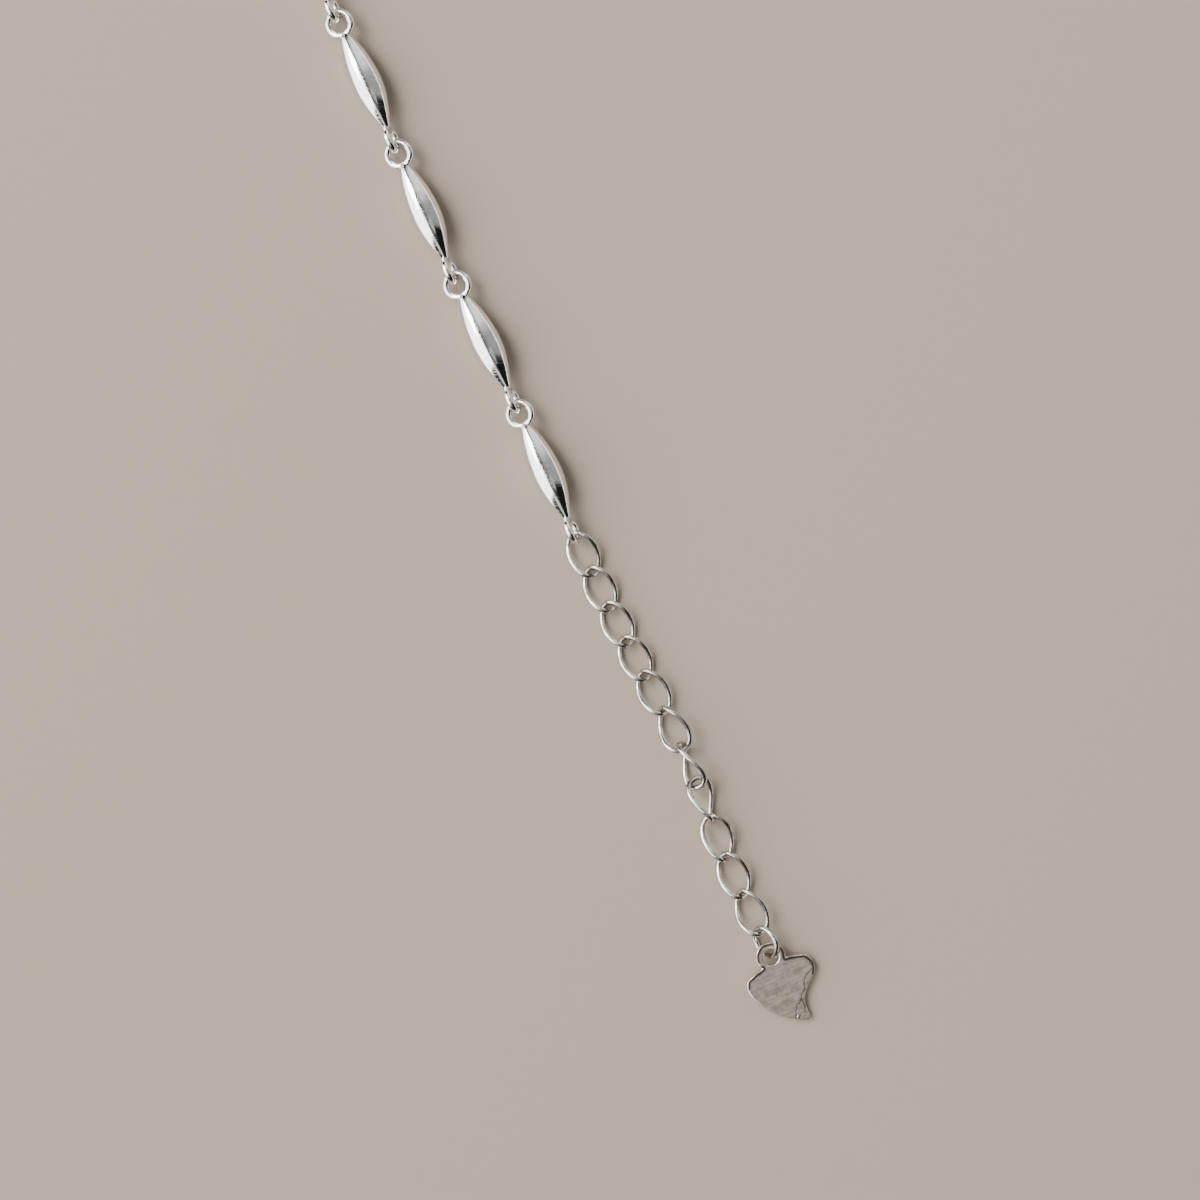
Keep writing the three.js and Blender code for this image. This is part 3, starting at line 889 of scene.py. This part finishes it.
def brush_across(material, tone, share):
    tree = material.node_tree
    surface = tree.nodes["Principled BSDF"]
    own_place = add_node(tree, "ShaderNodeAttribute", attribute_name="own place")
    mapping = add_node(tree, "ShaderNodeMapping", vector_type="TEXTURE")
    mapping.inputs["Rotation"].default_value = (0, 0, BRUSH_TURN)
    mapping.inputs["Scale"].default_value = [side * MM for side in BRUSH_STREAK]
    tree.links.new(own_place.outputs["Vector"], mapping.inputs["Vector"])
    streaks = between(tree, noise(tree, mapping.outputs["Vector"], 1.0), 0.42, 0.68, 0.0, share)
    colour = surface.inputs["Base Color"].links[0].from_socket
    tree.links.new(blend(tree, "RGBA", streaks, colour, (*tone, 1)), surface.inputs["Base Color"])


brush_across(satin, tone=(0.3, 0.25, 0.21), share=0.42)
print("brushed:", satin.name)

# %% [markdown]
# The satin is the tag's alone, so it also takes what the tag's mesh keeps: the rim that handling has
# brightened, the band of painted shade on the upper edges and the painted shade in the crease. Each share
# mixes its own tone over the metal, one after the other, and the rim is smoother too.

# %% Brighten the tag's rim and paint shade on its upper edges and in its crease
def finish_edges(material, bright, upper_edge_shade, crease_shade, gloss):
    tree = material.node_tree
    surface = tree.nodes["Principled BSDF"]
    colour = surface.inputs["Base Color"].links[0].from_socket
    # The upper-edge band and the crease tones are painted shade; the rim tone is wear.
    for name, tone in (("upper_edge_shade", upper_edge_shade), ("rim", bright), ("crease", crease_shade)):
        share = add_node(tree, "ShaderNodeAttribute", attribute_name=name).outputs["Fac"]
        colour = blend(tree, "RGBA", share, colour, (*tone, 1))
        if name == "rim":
            roughness = surface.inputs["Roughness"].links[0].from_socket
            tree.links.new(blend(tree, "FLOAT", share, roughness, gloss), surface.inputs["Roughness"])
    tree.links.new(colour, surface.inputs["Base Color"])


finish_edges(
    satin, bright=(0.72, 0.68, 0.63), upper_edge_shade=(0.09, 0.08, 0.07), crease_shade=(0.09, 0.075, 0.065), gloss=0.2,
)
print("nodes in", satin.name, len(satin.node_tree.nodes))

# %% [markdown]
# The wire finish goes to the links and the ring, the satin to the tag and the mirror to the rest. Each
# piece has one finish, in a slot named after its metal.

# %% Give each piece its finish
for name, piece in pieces.items():
    finish, slot = polished, "polished_silver"
    if name in (*LINKS, "jump_ring"):
        finish, slot = drawn, "polished_silver"
    if name == "heart_tag":
        finish, slot = satin, "satin_silver"
    piece.data.materials.clear()
    piece.data.materials.append(finish)
print("finished pieces:", len(pieces))

# %% [markdown]
# ## The studio
# A mirror shows what stands round it. The studio is a light tent: a wide white panel to the left that
# reaches nearly overhead, a grey side to the right with a bright strip low along it, and a dark opening
# below right. The dark camera hangs overhead, beside the panel. All of it is plain patches of light that
# differ by direction alone, so the World shader draws them: each is put over the ones before it.

# %% Hang the light tent
def toward(azimuth, elevation):
    turn, lift = math.radians(azimuth), math.radians(elevation)
    return Vector((math.cos(turn) * math.cos(lift), math.sin(turn) * math.cos(lift), math.sin(lift)))


PANEL_WHITE = 4.6
TENT_GREY = 0.38
NORTH_WHITE = 1.3
CAMERA_SHADE = 0.1
HORIZON_WHITE = 2.4
END_SHADE = 0.06
TENT_BLACK = 0.012
CARD_GREY = 0.9
GLOW_GREY = 0.62
LEFT, RIGHT, ALONG = 204, 24, -66


def hang_tent(world):
    world.use_nodes = True
    tree = world.node_tree
    background = tree.nodes["Background"]
    coordinates = add_node(tree, "ShaderNodeTexCoord")

    def facing(direction, start, full):
        dot = add_node(tree, "ShaderNodeVectorMath", operation="DOT_PRODUCT")
        tree.links.new(coordinates.outputs["Generated"], dot.inputs[0])
        dot.inputs[1].default_value = direction
        return between(tree, dot.outputs["Value"], start, full)

    def put(light, amount, brightness):
        mix = add_node(tree, "ShaderNodeMix", data_type="FLOAT")
        tree.links.new(amount, mix.inputs["Factor"])
        for socket, value in ((mix.inputs["A"], light), (mix.inputs["B"], brightness)):
            if isinstance(value, (int, float)):
                socket.default_value = value
            else:
                tree.links.new(value, socket)
        return mix.outputs["Result"]

    def patch(azimuth, elevation, inner, outer):
        return facing(toward(azimuth, elevation), math.cos(math.radians(outer)), math.cos(math.radians(inner)))

    right = facing(toward(RIGHT, 0), 0.0, 0.08)
    along = facing(toward(ALONG, 0), 0.17, 0.28)
    low = between(tree, facing(toward(0, 90), 0.06, 0.16), 0.0, 1.0, 1.0, 0.0)
    light = put(TENT_GREY, facing(toward(ALONG + 180, 0), 0.2, 0.5), NORTH_WHITE)
    light = put(light, facing(toward(LEFT, 0), -0.4, 0.2), CAMERA_SHADE)
    light = put(light, facing(toward(LEFT, 0), 0.22, 0.3), PANEL_WHITE)
    light = put(light, patch(112, -5, 34, 46), TENT_BLACK)
    light = put(light, facing(toward(ALONG, 0), 0.36, 0.46), END_SHADE)
    light = put(light, maths(tree, "MULTIPLY", right, along), TENT_BLACK)
    light = put(light, patch(ALONG - 24, 50, 8, 15), CARD_GREY)
    light = put(light, patch(ALONG + 51, 73, 3, 14), GLOW_GREY)
    light = put(light, maths(tree, "MULTIPLY", right, low), HORIZON_WHITE)
    tree.links.new(light, background.inputs["Strength"])
    background.inputs["Color"].default_value = (1, 1, 1, 1)


studio = bpy.context.scene.world or bpy.data.worlds.new("studio")
bpy.context.scene.world = studio
hang_tent(studio)

# %% [markdown]
# The sheet that the bracelet lies on is matt and pale. It is also the largest thing that the metal
# mirrors. A soft key lamp at the upper left gives each piece its faint shadow.

# %% Lay the paper and hang the key light
bpy.ops.mesh.primitive_plane_add(size=3, location=(0, 0, 0))
paper = newest("paper")
paper_finish = bpy.data.materials.new("pale paper")
paper_finish.use_nodes = True
paper_surface = paper_finish.node_tree.nodes["Principled BSDF"]
paper_surface.inputs["Base Color"].default_value = (0.36, 0.3, 0.24, 1)
paper_surface.inputs["Roughness"].default_value = 0.9
paper_surface.inputs["Specular IOR Level"].default_value = 0.2
paper.data.materials.append(paper_finish)

bpy.ops.object.light_add(type="AREA", location=(-0.35, 0.2, 0.45))
key = newest("key light")
key.data.shape = "SQUARE"
key.data.size = 0.3
key.data.energy = 3.0
key.rotation_euler = (-key.location).to_track_quat("-Z", "Y").to_euler()
print("stage set")

# %% [markdown]
# ## The camera
# The picture is taken from straight above. Its field is the sheet's 12 cm, and it is placed by the
# tag, whose middle shows at a known point of the picture.

# %% Place the camera
PICTURE_SIDE = 1200
FIELD = 120 * MM
CAMERA_HEIGHT = 420 * MM
TAG_PIXEL = Vector((780.2, 980.2))

pixel = FIELD / PICTURE_SIDE
tag_spot = box_middle("heart_tag")
aim = Vector((
    tag_spot.x - (TAG_PIXEL.x - PICTURE_SIDE / 2) * pixel,
    tag_spot.y + (TAG_PIXEL.y - PICTURE_SIDE / 2) * pixel,
    0,
))
bpy.ops.object.camera_add(location=(aim.x, aim.y, CAMERA_HEIGHT), rotation=(0, 0, 0))
camera = newest("camera")
camera.data.sensor_width = 36
camera.data.lens = camera.data.sensor_width * CAMERA_HEIGHT / FIELD
camera.data.clip_start = 0.01
bpy.context.scene.camera = camera
print("camera over", [round(side / MM, 2) for side in aim])
